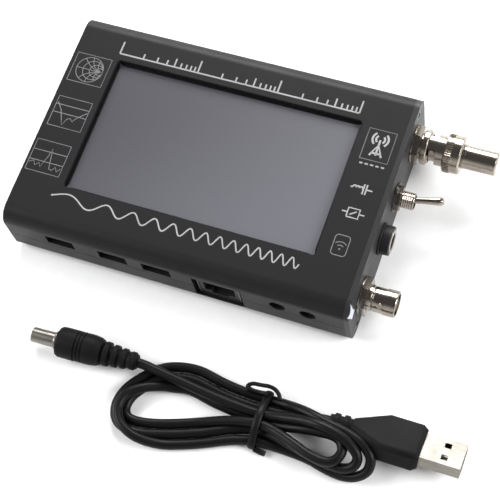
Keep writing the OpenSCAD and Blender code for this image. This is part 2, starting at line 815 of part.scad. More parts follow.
upper_shell();
lower_shell();
left_end_panel();
right_end_panel();
corner_insert();
end_panel_screws();
window_gasket();
touch_panel();
lcd_panel();
lcd_frame();
lcd_flex();
display_tape();
main_board();
main_board_chips();
flex_connector();
usb_socket_left();
usb_socket_middle();
usb_socket_right();
usb_socket_tongues();
network_jack();
network_jack_insert();
audio_jack_left();
audio_jack_right();
board_headers();
standoffs();
board_screws();
rf_board();
rf_board_chips();
rf_shield();
radio_module();
battery_pouch();
battery_pad();
port_one_jack();
port_one_insulator();
port_one_contact();
port_one_nut();
port_two_jack();
port_two_insulator();
port_two_contact();
port_two_nut();
load_body();
load_pin();
load_insulator();
load_collar();
toggle_bushing();
toggle_case();
toggle_terminals();
toggle_nut();
toggle_lever();
dc_jack_body();
dc_jack_nut();
dc_jack_pin();
dc_plug_barrel();
dc_plug_boot();
lead_tail();
lead_hank();
lead_tie();
lead_end();
usb_plug_housing();
usb_plug_shell();
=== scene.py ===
import bpy
import json
import math
from mathutils import Matrix, Vector


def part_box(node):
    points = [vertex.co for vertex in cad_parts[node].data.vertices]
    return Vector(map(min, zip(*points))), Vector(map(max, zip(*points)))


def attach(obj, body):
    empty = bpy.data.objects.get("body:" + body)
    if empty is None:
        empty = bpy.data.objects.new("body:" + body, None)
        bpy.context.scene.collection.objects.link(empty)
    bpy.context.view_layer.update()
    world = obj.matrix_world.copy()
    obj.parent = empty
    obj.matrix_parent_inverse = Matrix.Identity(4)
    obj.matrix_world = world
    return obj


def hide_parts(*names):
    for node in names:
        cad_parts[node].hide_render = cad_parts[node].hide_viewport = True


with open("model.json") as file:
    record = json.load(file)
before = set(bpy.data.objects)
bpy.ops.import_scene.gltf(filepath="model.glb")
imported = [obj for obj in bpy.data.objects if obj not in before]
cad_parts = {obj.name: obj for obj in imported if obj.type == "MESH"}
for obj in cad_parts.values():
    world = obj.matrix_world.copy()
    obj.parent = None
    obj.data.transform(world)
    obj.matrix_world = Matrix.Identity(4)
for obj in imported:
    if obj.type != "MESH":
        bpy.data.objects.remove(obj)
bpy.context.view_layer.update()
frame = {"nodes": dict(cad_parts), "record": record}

MM = 0.001

# ---------------------------------------------------------------- camera

camera_data = bpy.data.cameras.new("desk_camera")
camera_data.sensor_width = 36.0
camera_data.lens = 100.9
camera_data.clip_start = 0.01
camera = bpy.data.objects.new("desk_camera", camera_data)
bpy.context.scene.collection.objects.link(camera)
camera.matrix_world = (Matrix.Translation((0.14324, -0.19768, 0.47030))
                       @ Matrix.Rotation(0.6136, 4, "Z") @ Matrix.Rotation(0.4311, 4, "X")
                       @ Matrix.Rotation(-0.2963, 4, "Z"))
bpy.context.scene.camera = camera

# ---------------------------------------------------------------- materials


def linear(hex_colour):
    """sRGB hex to linear RGBA."""
    channels = [int(hex_colour[i:i + 2], 16) / 255 for i in (1, 3, 5)]
    return tuple(c / 12.92 if c <= 0.04045 else ((c + 0.055) / 1.055) ** 2.4 for c in channels) + (1.0,)


def add_node(tree, kind, inputs=None, **settings):
    """One node with its settings; an input that is a socket is linked, anything else is its value."""
    made = tree.nodes.new(kind)
    for key, value in settings.items():
        setattr(made, key, value)
    for key, value in (inputs or {}).items():
        if isinstance(value, bpy.types.NodeSocket):
            tree.links.new(value, made.inputs[key])
        else:
            made.inputs[key].default_value = value
    return made


def blank(name):
    """A new material and its tree, shader and position in metres."""
    made = bpy.data.materials.new(name)
    made.use_nodes = True
    tree = made.node_tree
    place = add_node(tree, "ShaderNodeTexCoord").outputs["Object"]
    return made, tree, tree.nodes["Principled BSDF"], place


def surface(name, colour, shade, metallic, roughness, swing, grain_mm, depth_mm,
            cloud_mm=14.0, stretch=(1, 1, 1), coat=0.0, ior=1.45):
    """A finish with a fine grain of grain_mm, stretched along its working marks, under slow changes of
    colour (colour to shade) and gloss (roughness give or take swing) over cloud_mm."""
    made, tree, shader, place = blank(name)
    marks = add_node(tree, "ShaderNodeMapping", {"Vector": place, "Scale": stretch}).outputs["Vector"]
    grain = add_node(tree, "ShaderNodeTexNoise",
                     {"Vector": marks, "Scale": 1000 / grain_mm, "Detail": 3.0}).outputs["Fac"]
    cloud = add_node(tree, "ShaderNodeTexNoise",
                     {"Vector": place, "Scale": 1000 / cloud_mm, "Detail": 4.0}).outputs["Fac"]
    both = add_node(tree, "ShaderNodeMath", {0: grain, 1: cloud}, operation="ADD").outputs[0]
    tint = add_node(tree, "ShaderNodeMapRange",
                    {"Value": both, "From Min": 0.7, "From Max": 1.3}).outputs["Result"]
    mix = add_node(tree, "ShaderNodeMix", {"Factor": tint}, data_type="RGBA")
    mix.inputs[6].default_value = linear(colour)
    mix.inputs[7].default_value = linear(shade)
    tree.links.new(mix.outputs[2], shader.inputs["Base Color"])
    gloss = add_node(tree, "ShaderNodeMapRange",
                     {"Value": both, "From Min": 0.7, "From Max": 1.3,
                      "To Min": max(roughness - swing, 0.03),
                      "To Max": roughness + swing}).outputs["Result"]
    tree.links.new(gloss, shader.inputs["Roughness"])
    bump = add_node(tree, "ShaderNodeBump",
                    {"Height": grain, "Distance": depth_mm * MM, "Strength": 1.0}).outputs["Normal"]
    tree.links.new(bump, shader.inputs["Normal"])
    shader.inputs["Metallic"].default_value = metallic
    if not metallic:
        shader.inputs["IOR"].default_value = ior
    if coat:
        shader.inputs["Coat Weight"].default_value = coat
        shader.inputs["Coat Roughness"].default_value = 0.12
    return made


# bead-blasted black anodised extrusion: an even satin black with a fine sparkle, never glossy
anodised_black = surface("blasted_black_anodised_aluminium", "#1E1E1F", "#19191A", 0.0, 0.44, 0.05, 0.35,
                         0.012,
                         ior=1.22)
# the same black anodised finish on the end plate, painted greyer as painted light for its lit side face,
# with a streaked grain
painted_lit_anodised = surface("streaked_anodised_aluminium_painted_lighter", "#2C2C2D", "#232324", 0.0, 0.42, 0.06, 0.5,
                        0.014,
                        stretch=(1, 0.08, 1), ior=1.28)
# bare milled aluminium in the opened corner: cold, light and finely lined
milled_aluminium = surface("milled_bare_aluminium", "#D5D9E8", "#C2C7D8", 0.45, 0.50, 0.06, 0.4, 0.010,
                           stretch=(1, 0.1, 1))
# black-oxide screw steel: nearly black, oily sheen
oxide_steel = surface("black_oxide_steel", "#232325", "#19191B", 0.7, 0.36, 0.08, 0.3, 0.008)
# bright nickel over turned brass: warm silver, close turning lines round the axis
nickel = surface("turned_nickel_plate", "#A9A196", "#948C82", 1.0, 0.20, 0.06, 0.30, 0.006,
                 stretch=(1, 0.2, 0.2))
# dulled tinned sheet steel: warm grey with rolling marks
tinned_steel = surface("tinned_sheet_steel", "#85817A", "#726F69", 1.0, 0.34, 0.08, 0.4, 0.006,
                       stretch=(0.12, 1, 1))
brass = surface("turned_brass", "#C9A45A", "#B38E45", 1.0, 0.28, 0.06, 0.3, 0.006, stretch=(1, 0.2, 0.2))
gold = surface("gold_flash_contact", "#E2BE6A", "#D0A852", 1.0, 0.20, 0.04, 0.3, 0.004)
# unfilled PTFE: waxy white, slightly translucent
ptfe = surface("waxy_white_ptfe", "#E9E7DF", "#DDDAD0", 0.0, 0.42, 0.05, 0.5, 0.006)
display_glass = surface("dark_display_glass", "#1E1F24", "#17181C", 0.0, 0.10, 0.02, 2.0, 0.001)
foam = surface("closed_cell_black_foam", "#161616", "#0E0E0E", 0.0, 0.88, 0.06, 0.4, 0.05)
solder_mask = surface("green_solder_mask", "#12563A", "#0D4630", 0.0, 0.32, 0.05, 1.2, 0.01, coat=0.4)
blue_mask = surface("blue_solder_mask", "#1B5A96", "#164B80", 0.0, 0.32, 0.05, 1.2, 0.01, coat=0.4)
polyimide = surface("amber_polyimide_film", "#B5702A", "#9C5E20", 0.0, 0.22, 0.04, 1.0, 0.006)
epoxy = surface("moulded_black_epoxy", "#1C1C1E", "#141416", 0.0, 0.55, 0.07, 0.25, 0.012)
foil = surface("laminated_pouch_foil", "#B4B8BE", "#A3A7AE", 0.9, 0.30, 0.07, 2.5, 0.05)
switch_blue = surface("moulded_blue_phenolic", "#1D4F9E", "#184286", 0.0, 0.45, 0.06, 0.3, 0.01)
# soft PVC cable jacket: satin black, drawn lines along it too fine to feel
cable_pvc = surface("extruded_black_pvc", "#0E0E0F", "#09090A", 0.0, 0.42, 0.05, 0.5, 0.010, ior=1.24)
# over-moulded plug grip: spark-eroded mould texture, matter than the cable
grip_pvc = surface("spark_textured_black_pvc", "#121213", "#0D0D0E", 0.0, 0.55, 0.05, 0.32, 0.022, ior=1.18)
tie_nylon = surface("black_tie_nylon", "#0E0E0F", "#09090A", 0.0, 0.44, 0.05, 0.4, 0.008, ior=1.24)
# screen-printed ink: flat light grey, a little thin and uneven at its edges
print_ink = surface("light_grey_screen_ink", "#939392", "#7E7E7D", 0.0, 0.62, 0.06, 0.3, 0.006)
# the same ink in hairlines, which print thinner and greyer
hairline_ink = surface("grey_hairline_ink", "#6E6E6D", "#595958", 0.0, 0.62, 0.06, 0.3, 0.004)
mask_ink = surface("black_border_ink", "#101012", "#0B0B0D", 0.0, 0.30, 0.05, 0.6, 0.002)


def touch_film():
    """Matt hard-coated film on a sleeping display: grey, with a painted reflection that lightens it towards
    the front right corner.
    """
    made, tree, shader, place = blank("matt_hard_coated_film")
    parts = add_node(tree, "ShaderNodeSeparateXYZ", {"Vector": place}).outputs
    across = add_node(tree, "ShaderNodeMath", {0: parts["X"], 1: parts["Y"]},
                      operation="SUBTRACT").outputs[0]
    # painted reflection: the grey film is drawn lighter towards the front right corner, where the room's
    # light falls on it
    painted_reflection_slope = add_node(tree, "ShaderNodeMapRange", {"Value": across, "From Min": -0.06, "From Max": 0.07},
                     interpolation_type="SMOOTHSTEP").outputs["Result"]
    mix = add_node(tree, "ShaderNodeMix", {"Factor": painted_reflection_slope}, data_type="RGBA")
    mix.inputs[6].default_value = linear("#3C3C41")
    mix.inputs[7].default_value = linear("#57575D")
    tree.links.new(mix.outputs[2], shader.inputs["Base Color"])
    # the film's anti-glare grain, 0.12 mm, drawn at 0.3 mm so that it shows
    grain = add_node(tree, "ShaderNodeTexNoise", {"Vector": place, "Scale": 1000 / 0.3,
                                                  "Detail": 2.0}).outputs["Fac"]
    gloss = add_node(tree, "ShaderNodeMapRange", {"Value": grain, "To Min": 0.30,
                                                  "To Max": 0.38}).outputs["Result"]
    tree.links.new(gloss, shader.inputs["Roughness"])
    bump = add_node(tree, "ShaderNodeBump", {"Height": grain, "Distance": 0.004 * MM}).outputs["Normal"]
    tree.links.new(bump, shader.inputs["Normal"])
    return made


film = touch_film()

# ---------------------------------------------------------------- making and finishing pieces


def alone(piece):
    """Deselects everything but this piece and makes it active."""
    bpy.ops.object.select_all(action="DESELECT")
    piece.select_set(True)
    bpy.context.view_layer.objects.active = piece


def settle(piece, name, body, material, smooth=35.0):
    """Applies the piece's place, names it, finishes it and lets it ride its body."""
    alone(piece)
    bpy.ops.object.transform_apply(location=True, rotation=True, scale=True)
    piece.name = name
    piece.data.name = name
    piece.data.materials.clear()
    piece.data.materials.append(material)
    if piece.type == "MESH":
        bpy.ops.object.shade_smooth_by_angle(angle=math.radians(smooth))
    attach(piece, body)
    return piece


def turn(rings, sides=48, close=(True, True)):
    """Turned shape along X from rings of (x, radius) in mm, drawn out of one circle."""
    bpy.ops.object.select_all(action="DESELECT")
    x, r = rings[0]
    bpy.ops.mesh.primitive_circle_add(vertices=sides, radius=r * MM, location=(x * MM, 0, 0),
                                      rotation=(0, math.pi / 2, 0),
                                      fill_type="NGON" if close[0] else "NOTHING")
    bpy.ops.object.mode_set(mode="EDIT")
    bpy.ops.mesh.select_mode(type="EDGE")
    bpy.ops.mesh.select_all(action="SELECT")
    for new_x, new_r in rings[1:]:
        bpy.ops.mesh.extrude_edges_move(TRANSFORM_OT_translate={"value": ((new_x - x) * MM, 0, 0)})
        bpy.ops.transform.resize(value=(1, new_r / r, new_r / r), center_override=(new_x * MM, 0, 0))
        x, r = new_x, new_r
    if close[1]:
        bpy.ops.mesh.edge_face_add()
    bpy.ops.mesh.select_all(action="SELECT")
    bpy.ops.mesh.normals_make_consistent(inside=False)
    bpy.ops.object.mode_set(mode="OBJECT")
    bpy.ops.object.transform_apply(location=True, rotation=True, scale=True)
    return bpy.context.object


def through(points, steps):
    """Points on a smooth line through the given ones, steps between each pair."""
    line = []
    last = len(points) - 1
    for i in range(last):
        a, b, c, d = (Vector(points[max(i - 1, 0)]), Vector(points[i]), Vector(points[i + 1]),
                      Vector(points[min(i + 2, last)]))
        for k in range(steps):
            t = k / steps
            line.append(0.5 * (2 * b + (c - a) * t + (2 * a - 5 * b + 4 * c - d) * t * t
                               + (3 * b - a - 3 * c + d) * t * t * t))
    return line + [Vector(points[last])]


def line_piece(name, strands, thickness, closed=False):
    """One curve object with a round section, in mm."""
    data = bpy.data.curves.new(name, "CURVE")
    data.dimensions = "3D"
    for strand in strands:
        spline = data.splines.new("POLY")
        spline.points.add(len(strand) - 1)
        for point, place in zip(spline.points, strand):
            point.co = (place[0] * MM, place[1] * MM, place[2] * MM, 1)
        spline.use_cyclic_u = closed
    data.bevel_depth = thickness / 2 * MM
    data.bevel_resolution = 5
    data.use_fill_caps = not closed
    made = bpy.data.objects.new(name, data)
    bpy.context.scene.collection.objects.link(made)
    return made


# ---------------------------------------------------------------- charging lead

LEAD_Y = -76.4
CABLE_D = 3.6
LOW = 2.0                  # a strand's middle just clear of the table

tail = [(-4.4, LEAD_Y + 0.75, 5.4), (-0.5, LEAD_Y + 0.55, 5.4), (3.6, LEAD_Y, 5.4), (12.4, -77.5, 5.4),
        (21, -78.6, 5.4), (30, -79.6, 5.4), (38, -80.1, 5.3)]
# the outermost strand of the left loop, from the tie along the front, round the end and back
left_line = through([(44.6, -89.3), (36.9, -91.6), (28, -95.6), (21, -98.3), (13.6, -100.6), (5.8, -101.4),
                     (-0.4, -100.0), (-4.6, -97.0), (-6.5, -92.2), (-5.8, -86.4), (-2.4, -80.8),
                     (2.8, -75.4),
                     (9, -72.2), (17.5, -71.0), (28, -72.8), (36, -73.6), (44.6, -73.7)], 1)
# per left turn: how far in it lies and how high, at each of the 17 stations
left_turns = [
    ([3.9, 3.9, 3.8, 3.8, 3.7, 2.6, 1.2, 0.3, 0, 0, 0, 0, 0, 0, 0, 0, 0], [LOW] * 17),
    ([0, 0, 0, 0, 0, 0.2, 0.8, 1.6, 1.8, 2.6, 4.4, 6.6, 7.8, 7.8, 7.8, 7.8, 7.8],
     [LOW, LOW, LOW, LOW, 2.6, 4.6, 5.3, 5.2, 5.0, 5.0, 4.3, 2.6, LOW, LOW, LOW, LOW, LOW]),
    ([5.6, 6.6, 7.6, 7.6, 7.5, 6.6, 5.2, 4.2, 3.7, 3.7, 3.7, 3.8, 3.9, 3.9, 3.9, 3.9, 3.9],
     [5.0, 3.6, 2.0] + [LOW] * 14)]
# the three right turns, from the tie over the plug's strain relief, round the end and back
right_turns = [
    [(52, -79.6, 6.6), (60, -79.1, 9.6), (66, -79.6, 11.8), (72, -80.6, 12.2), (77.4, -82.4, 11.6),
     (81.6, -85.4, 10.0), (81.4, -88.6, 8.0), (77.6, -90.3, 6.4), (71, -90.0, 5.5),
     (64, -88.7, 5.1), (57, -87.2, 4.3), (51, -86.0, 2.9)],
    [(52, -74.0, 3.6), (58, -75.2, 7.4), (64, -76.6, 9.6), (70, -78.0, 10.3), (76.6, -79.2, 10.4),
     (82.2, -81.3, 10.4), (86.0, -84.6, 9.2), (86.0, -88.6, 6.4), (82.2, -91.2, 3.8), (77, -91.8, 2.4),
     (71, -91.0, LOW), (65, -89.7, LOW), (57, -89.1, LOW), (50, -89.1, LOW)],
    [(52, -82.0, 3.8), (60, -81.4, 6.8), (66, -81.0, 8.2), (71.5, -81.0, 9.0), (74.8, -82.4, 9.4),
     (76.2, -85.7, 9.5), (74.8, -89.0, 9.2), (71.5, -90.4, 8.8), (66, -89.8, 8.4), (60, -87.8, 7.8),
     (54, -85.6, 6.6), (49, -84.2, 5.5)]]
at_tie = [(44.6, -80.2, 5.2), (44.6, -73.7, LOW), (44.6, -81.5, LOW)]
end = [(44.6, -77.6, LOW), (50.5, -77.2, 2.1), (56.4, LEAD_Y + 0.1, 3.4), (61.5, LEAD_Y + 0.3, 4.9),
       (65.5, LEAD_Y + 0.5, 6.3), (69.5, LEAD_Y + 0.6, 7)]

route = list(tail)
for turn_at, inset, height, right in zip(at_tie, *zip(*left_turns), right_turns):
    route.append(turn_at)
    route += right
    for i, station in enumerate(left_line):
        ahead = left_line[min(i + 1, 16)] - left_line[max(i - 1, 0)]
        inward = Vector((ahead.y, -ahead.x)).normalized()
        if i < 16:
            spot = station + inward * inset[i]
            route.append((spot.x, spot.y, height[i]))
route += end
lead = line_piece("charging_lead_cable", [through(route, 5)], CABLE_D)
settle(lead, "charging_lead_cable", "lead", cable_pvc)
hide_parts("lead_tail", "lead_hank", "lead_end")

# tie: a narrow strap round the bundle, its free end turned back into a small loop
STRAP_X = 44.6
STRAP_T = 1.1              # the strap's thickness, and the width it is drawn out to
STRAP_W = 2.8
strap = []
for y, z in [(-82, 0.6), (-90.4, 0.65), (-91.9, 1.8), (-91.2, 3.7), (-88.4, 5.5), (-85.6, 7.3),
             (-81.6, 7.8),
             (-78.2, 6.8), (-74.6, 4.7), (-71.7, 3.5), (-71.2, 1.7), (-73, 0.65)]:
    strap.append((STRAP_X, y, z))
tie = line_piece("lead_tie_strap", [through(strap + strap[:1], 6)[:-1]], STRAP_T, closed=True)
tail_loop = line_piece("lead_tie_free_end", [through(
    [(44.4, -73.0, 6.6), (42.0, -73.0, 5.6), (38.9, -73.0, 5.5), (36.9, -72.2, 5.5), (38.3, -70.9, 5.9),
     (41.8, -70.6, 6.5), (44.4, -70.4, 6.9), (46.6, -70.6, 6.2), (48.3, -71.7, 5.2), (49.2, -73.2, 4.6)],
     6)], 1.5)
tie_nub = line_piece("lead_tie_nub", [through([(45.6, -91.9, 1.4), (47.8, -92.2, 1.2),
                                               (49.8, -92.4, 1.4)], 5)], 2.0)
for piece, name in ((tie, "lead_tie_strap"), (tail_loop, "lead_tie_free_end"), (tie_nub, "lead_tie_nub")):
    alone(piece)
    bpy.ops.object.convert(target="MESH")
    piece = bpy.context.object
    if name == "lead_tie_strap":
        # the round line is widened along the bundle until it is a flat strap
        bpy.ops.object.mode_set(mode="EDIT")
        bpy.ops.mesh.select_all(action="SELECT")
        bpy.ops.transform.resize(value=(STRAP_W / STRAP_T, 1, 1), center_override=(STRAP_X * MM, 0, 0))
        bpy.ops.object.mode_set(mode="OBJECT")
    settle(piece, name, "lead", tie_nylon)
    if name == "lead_tie_strap":
        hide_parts("lead_tie")

bpy.context.view_layer.update()

# ---------------------------------------------------------------- CAD nodes' finishes

finishes = {
    anodised_black: ["upper_shell", "lower_shell", "left_end_panel"],
    # the right end plate takes the black finish painted lighter, a painted light for its lit side face
    painted_lit_anodised: ["right_end_panel"], milled_aluminium: ["corner_insert"],
    oxide_steel: ["end_panel_screws"],
    nickel: ["port_one_jack", "port_one_nut", "port_two_jack", "port_two_nut", "load_body", "load_collar",
             "toggle_bushing", "toggle_nut", "toggle_lever"],
    tinned_steel: ["usb_socket_left", "usb_socket_middle", "usb_socket_right", "network_jack", "rf_shield",
                   "usb_plug_shell", "dc_plug_barrel", "dc_jack_pin", "lcd_frame", "board_screws"],
    brass: ["standoffs"],
    gold: ["port_one_contact", "port_two_contact", "load_pin", "toggle_terminals"],
    ptfe: ["port_one_insulator", "port_two_insulator", "load_insulator", "flex_connector", "display_tape",
           "battery_pad"],
    film: ["touch_panel"], display_glass: ["lcd_panel"], foam: ["window_gasket"],
    solder_mask: ["main_board", "rf_board"], blue_mask: ["radio_module"], polyimide: ["lcd_flex"],
    epoxy: ["main_board_chips", "rf_board_chips", "board_headers", "audio_jack_left", "audio_jack_right",
            "network_jack_insert", "usb_socket_tongues", "dc_jack_body", "dc_jack_nut"],
    foil: ["battery_pouch"], switch_blue: ["toggle_case"],
    grip_pvc: ["dc_plug_boot", "usb_plug_housing"]}
for finish, names in finishes.items():
    for name in names:
        solid = frame["nodes"][name]
        solid.data.materials.clear()
        solid.data.materials.append(finish)

# ---------------------------------------------------------------- solids finished from the CAD shape

body_of = {name: body for body, names in frame["record"]["behaviour"]["bodies"].items() for name in names}


def broken_edges(name, edge_mm, smooth=30.0):
    """A copy of a CAD solid, merged, with its sharp edges broken to edge_mm, in the solid's finish."""
    source = frame["nodes"][name]
    made = bpy.data.objects.new(name + "_finished", source.data.copy())
    bpy.context.scene.collection.objects.link(made)
    alone(made)
    bpy.ops.object.mode_set(mode="EDIT")
    bpy.ops.mesh.select_all(action="SELECT")
    bpy.ops.mesh.remove_doubles(threshold=0.000002)
    bpy.ops.mesh.dissolve_limited(angle_limit=math.radians(0.5))
    bpy.ops.object.mode_set(mode="OBJECT")
    bevel = made.modifiers.new("broken_edge", "BEVEL")
    bevel.width = edge_mm * MM
    bevel.segments = 2
    bevel.limit_method = "ANGLE"
    bevel.angle_limit = math.radians(40)
    bpy.ops.object.modifier_apply(modifier="broken_edge")
    settle(made, name + "_finished", body_of[name], source.data.materials[0], smooth)
    # flat faces keep flat shading beside their broken edges
    made.modifiers.new("flat_faces", "WEIGHTED_NORMAL").keep_sharp = True
    bpy.ops.object.modifier_apply(modifier="flat_faces")
    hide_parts(name)
    return made


for solid_name, edge in (("upper_shell", 0.12), ("lower_shell", 0.12), ("left_end_panel", 0.12),
                         ("right_end_panel", 0.12), ("corner_insert", 0.08), ("port_one_jack", 0.12),
                         ("port_two_jack", 0.12), ("port_one_nut", 0.2), ("port_two_nut", 0.2),
                         ("load_body", 0.15), ("load_collar", 0.15), ("toggle_bushing", 0.1),
                         ("toggle_nut", 0.15), ("toggle_lever", 0.05), ("dc_jack_body", 0.25),
                         ("dc_jack_nut", 0.2), ("dc_plug_barrel", 0.2), ("usb_plug_housing", 0.7),
                         ("usb_plug_shell", 0.12)):
    broken_edges(solid_name, edge)


def axis_of(name):
    """Middle of a CAD solid across X: (y, z) in mm."""
    low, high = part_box(name)
    return (low[1] + high[1]) / 2 / MM, (low[2] + high[2]) / 2 / MM


def around(piece, count, y, z):
    """Copies the piece count times round the X axis through (y, z) and joins the copies."""
    alone(piece)
    bpy.ops.object.transform_apply(location=True, rotation=True, scale=True)
    copies = [piece]
    for k in range(1, count):
        copy = bpy.data.objects.new(piece.name, piece.data.copy())
        bpy.context.scene.collection.objects.link(copy)
        copy.data.transform(Matrix.Translation((0, y * MM, z * MM))
                            @ Matrix.Rotation(math.tau * k / count, 4, "X")
                            @ Matrix.Translation((0, -y * MM, -z * MM)))
        copies.append(copy)
    for copy in copies:
        copy.select_set(True)
    bpy.ops.object.join()
    return bpy.context.object


# fine teeth round the inboard end of the collar's grip
collar_y, collar_z = axis_of("load_collar")
grip_from, grip_to, grip_r = 78.5, 80.9, 7.1
bpy.ops.object.select_all(action="DESELECT")
bpy.ops.mesh.primitive_cube_add(size=1, location=((grip_from + grip_to) / 2 * MM, collar_y * MM,
                                                  (collar_z + grip_r + 0.05) * MM))
ridge = bpy.context.object
ridge.scale = ((grip_to - grip_from) * MM, 0.40 * MM, 0.34 * MM)
bpy.ops.object.transform_apply(location=False, rotation=False, scale=True)
bpy.ops.object.mode_set(mode="EDIT")
bpy.ops.mesh.select_all(action="SELECT")
bpy.ops.mesh.bevel(offset=0.0001, segments=1)
bpy.ops.object.mode_set(mode="OBJECT")
settle(around(ridge, 60, collar_y, collar_z), "collar_grip_teeth", "collar", nickel, 25)

# thread on the toggle's bushing: 0.75 mm pitch, 0.2 mm proud of its core
toggle_y, toggle_z = axis_of("toggle_bushing")
thread, x = [(68.5, 2.9)], 68.5
while x < 72.4:
    thread += [(x + 0.2, 2.95), (x + 0.4, 3.2), (x + 0.55, 3.2)]
    x += 0.75
thread.append((72.9, 2.9))
piece = turn(thread, close=(False, False))
piece.location = (0, toggle_y * MM, toggle_z * MM)
wall = piece.modifiers.new("wall", "SOLIDIFY")
wall.thickness = 0.0002
wall.offset = -1
alone(piece)
bpy.ops.object.modifier_apply(modifier="wall")
settle(piece, "toggle_bushing_thread", "case", nickel, 20)

# locating washer behind the toggle's nut, with its tab turned up
piece = turn([(66.05, 5.4), (66.5, 5.4), (66.5, 3.3), (66.05, 3.3), (66.05, 5.4)], close=(False, False))
piece.location = (0, toggle_y * MM, toggle_z * MM)
settle(piece, "toggle_locating_washer", "case", tinned_steel)
bpy.ops.object.select_all(action="DESELECT")
bpy.ops.mesh.primitive_cube_add(size=1, location=(0.0667, toggle_y * MM, (toggle_z + 5.6) * MM))
tab = bpy.context.object
tab.scale = (0.0013, 0.0022, 0.0016)
bpy.ops.object.transform_apply(location=False, rotation=False, scale=True)
bpy.ops.object.mode_set(mode="EDIT")
bpy.ops.mesh.select_all(action="SELECT")
bpy.ops.mesh.bevel(offset=0.0003, segments=2)
bpy.ops.object.mode_set(mode="OBJECT")
settle(tab, "toggle_washer_tab", "case", tinned_steel)

# bright liner in the mouth of the charging jack
jack_y, jack_z = axis_of("dc_jack_body")
piece = turn([(69.2, 3.0), (70.15, 3.0), (70.3, 3.2), (70.3, 4.3), (70.15, 4.5), (69.8, 4.5), (69.2, 3.0)],
             close=(False, False))
piece.location = (0, jack_y * MM, jack_z * MM)
settle(piece, "dc_jack_mouth_liner", "case", nickel)

# moulded boot of the barrel plug: three finger grooves, then a strain relief of four ribs
boot = [(-30.8, 4.6), (-30.5, 5.2), (-29.9, 5.55), (-29.2, 5.65), (-23.5, 5.65)]
for i in range(3):
    groove = -23.4 + 1.35 * i
    boot += [(groove, 5.25), (groove + 0.35, 5.25), (groove + 0.5, 5.6), (groove + 1.2, 5.6)]
boot += [(-19.0, 5.6), (-17.0, 5.5), (-15.2, 5.2), (-13.9, 4.6), (-13.3, 3.3)]
for i in range(4):
    rib, r = -12.9 + 3.3 * i, 4.5 - 0.38 * i
    boot += [(rib, 3.1), (rib + 0.2, r - 0.15), (rib + 0.45, r), (rib + 1.75, r - 0.05),
             (rib + 2.0, r - 0.25),
             (rib + 2.15, 3.1 - 0.1 * i)]
boot += [(-0.3, 2.7)]
piece = turn(boot, sides=56)
piece.rotation_euler = (0, 0, math.radians(2))
piece.location = (-3.6 * MM, (LEAD_Y + 0.8) * MM, 5.75 * MM)
settle(piece, "dc_plug_boot_ribbed", "lead", grip_pvc, 28)
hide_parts("dc_plug_boot")

# ---------------------------------------------------------------- display border and printed marks

# black border under the film, 1.2 mm wide inside the window, round at its corners
bpy.ops.object.select_all(action="DESELECT")
bpy.ops.mesh.primitive_plane_add(size=1, location=(0, 0.0009, 0.02483))
border = bpy.context.object
border.scale = (0.0980, 0.0565, 1)
bpy.ops.object.transform_apply(location=False, rotation=False, scale=True)
bpy.ops.object.mode_set(mode="EDIT")
bpy.ops.mesh.select_all(action="SELECT")
bpy.ops.mesh.inset(thickness=0.0019)
bpy.ops.mesh.bevel(offset=0.0022, segments=6, affect="VERTICES")
bpy.ops.mesh.delete(type="FACE")
bpy.ops.mesh.select_all(action="SELECT")
bpy.ops.mesh.normals_make_consistent(inside=False)
bpy.ops.object.mode_set(mode="OBJECT")
sheet = border.modifiers.new("ink", "SOLIDIFY")
sheet.thickness = 0.00003
alone(border)
bpy.ops.object.modifier_apply(modifier="ink")
settle(border, "display_border", "case", mask_ink)

TOP = 27.0


def arc(x, y, r, start, stop, steps=14):
    """Points on an arc on the top face, in mm and degrees."""
    turns = [math.radians(start + (stop - start) * k / steps) for k in range(steps + 1)]
    return [(x + r * math.cos(a), y + r * math.sin(a)) for a in turns]


def box_line(x0, y0, x1, y1):
    return [(x0, y0), (x1, y0), (x1, y1), (x0, y1), (x0, y0)]


def print_marks(name, strokes, width, ink=print_ink):
    """Lines of ink on the top face: drawn round, then pressed flat to a fifth of their height."""
    made = line_piece(name, [[(x, y, TOP) for x, y in stroke] for stroke in strokes], width)
    made.data.bevel_resolution = 1
    alone(made)
    bpy.ops.object.convert(target="MESH")
    made = bpy.context.object
    bpy.ops.object.mode_set(mode="EDIT")
    bpy.ops.mesh.select_all(action="SELECT")
    bpy.ops.transform.resize(value=(1, 1, 0.2), center_override=(0, 0, TOP * MM))
    bpy.ops.object.mode_set(mode="OBJECT")
    return settle(made, name, "case", ink)


# reflection chart: outer ring, circles that meet at its right edge, and arcs between them
chart_x, chart_y, chart_r = -57.2, 21.3, 5.3
chart = [box_line(-64.2, 15.2, -50.3, 27.4), arc(chart_x, chart_y, chart_r, 0, 360, 36)]
for share in (0.75, 0.5, 0.28):
    chart.append(arc(chart_x + chart_r * (1 - share), chart_y, chart_r * share, 0, 360, 24))
chart.append([(chart_x - chart_r, chart_y), (chart_x + chart_r, chart_y)])
for size in (1.9, 1.0, 0.5):
    sweep = 2 * math.degrees(math.atan(1 / size))
    for side in (-1, 1):
        chart.append(arc(chart_x + chart_r, chart_y + side * chart_r * size, chart_r * size,
                         -90 * side, -90 * side - side * sweep))
print_marks("print_reflection_chart", chart, 0.26, hairline_ink)

# falling curve with a dip over three ruled lines
dip = [box_line(-64, -4.5, -50.5, 8)]
dip += [[(-64, y), (-50.5, y)] for y in (4.6, 1.2)]
dip.append([(-63.4, 5.4), (-61.2, 2.6), (-59.6, -1.0), (-58.6, -3.6), (-57.4, -0.6), (-56.2, -0.2),
            (-55.2, -1.2),
            (-54.2, 0.4), (-52.4, 2.2), (-50.8, 3.6)])
print_marks("print_sweep_dip", dip, 0.28, hairline_ink)

